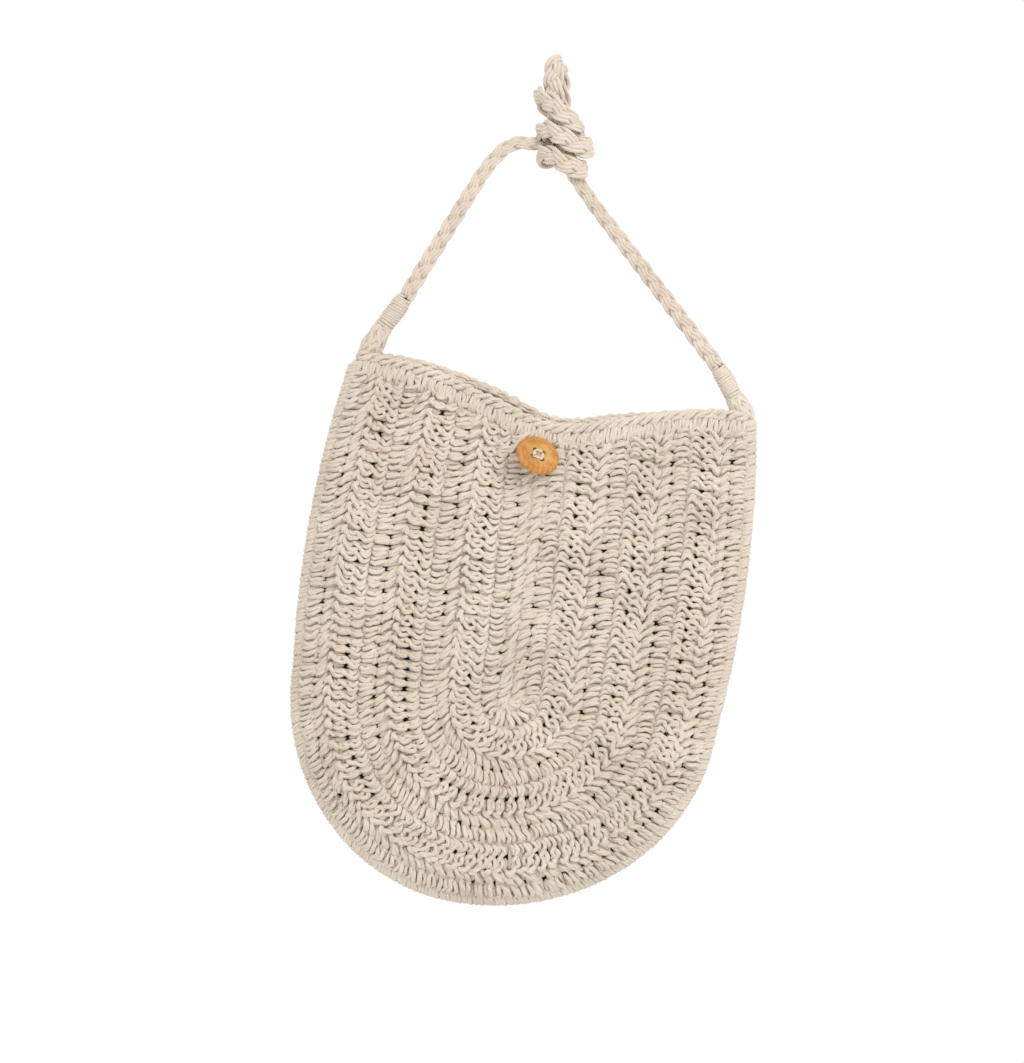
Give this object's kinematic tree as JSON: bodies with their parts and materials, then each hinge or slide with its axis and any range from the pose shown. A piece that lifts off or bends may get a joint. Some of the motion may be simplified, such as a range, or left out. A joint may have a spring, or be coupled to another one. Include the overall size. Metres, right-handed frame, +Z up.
{
  "type": "crossbody purse",
  "caption": "Round-bottomed crochet cotton shoulder bag with a plaited strap tied short in a slip knot, hung up by the strap, with a wooden button below the dip of its mouth.",
  "frame": {"origin": "underside of the strap where it rests on the top of a round peg, in the middle of the strap's thickness", "axes": "+Z up as it hangs, -Y out of the front of the purse, +X to the right seen from the front"},
  "size_m": [0.2272, 0.048, 0.4106],
  "materials": {
    "cotton": "matte undyed cotton yarn, crocheted",
    "strap_cotton": "matte undyed cotton yarn, plaited",
    "wood": "satin turned wood",
    "thread": "pale sewing thread"
  },
  "bodies": {
    "strap": {"strap_left_leg": "strap_cotton", "strap_knot": "strap_cotton", "strap_right_leg": "strap_cotton", "left_whipping": "strap_cotton", "right_whipping": "strap_cotton"},
    "bag": {"front_panel": "cotton", "back_panel": "cotton", "side_seam": "cotton", "front_rim": "cotton", "back_rim": "cotton", "left_strap_eye": "strap_cotton", "right_strap_eye": "strap_cotton", "button_thread_knot": "thread"},
    "button_stem": {"button_shank": "thread"},
    "button": {"button": "wood", "button_stitches": "thread"}
  },
  "joints": [
    {"name": "bag_swing", "type": "hinge", "parent": "strap", "child": "bag", "pos_m": [-0.06907, 0, -0.09047], "axis": [0.9837, 0, -0.1796], "range_deg": [-75, 75]},
    {"name": "button_tilt", "type": "hinge", "parent": "bag", "child": "button_stem", "pos_m": [0.00619, -0.01292, -0.15335], "axis": [0.848, 0, -0.5299], "range_deg": [-2, 24], "stiffness_Nm_per_rad": 0.004},
    {"name": "button_twist", "type": "hinge", "parent": "button_stem", "child": "button", "pos_m": [0.00619, -0.01292, -0.15335], "axis": [0.3335, -0.7771, 0.5337], "range_deg": [-45, 45], "stiffness_Nm_per_rad": 0.001}
  ]
}
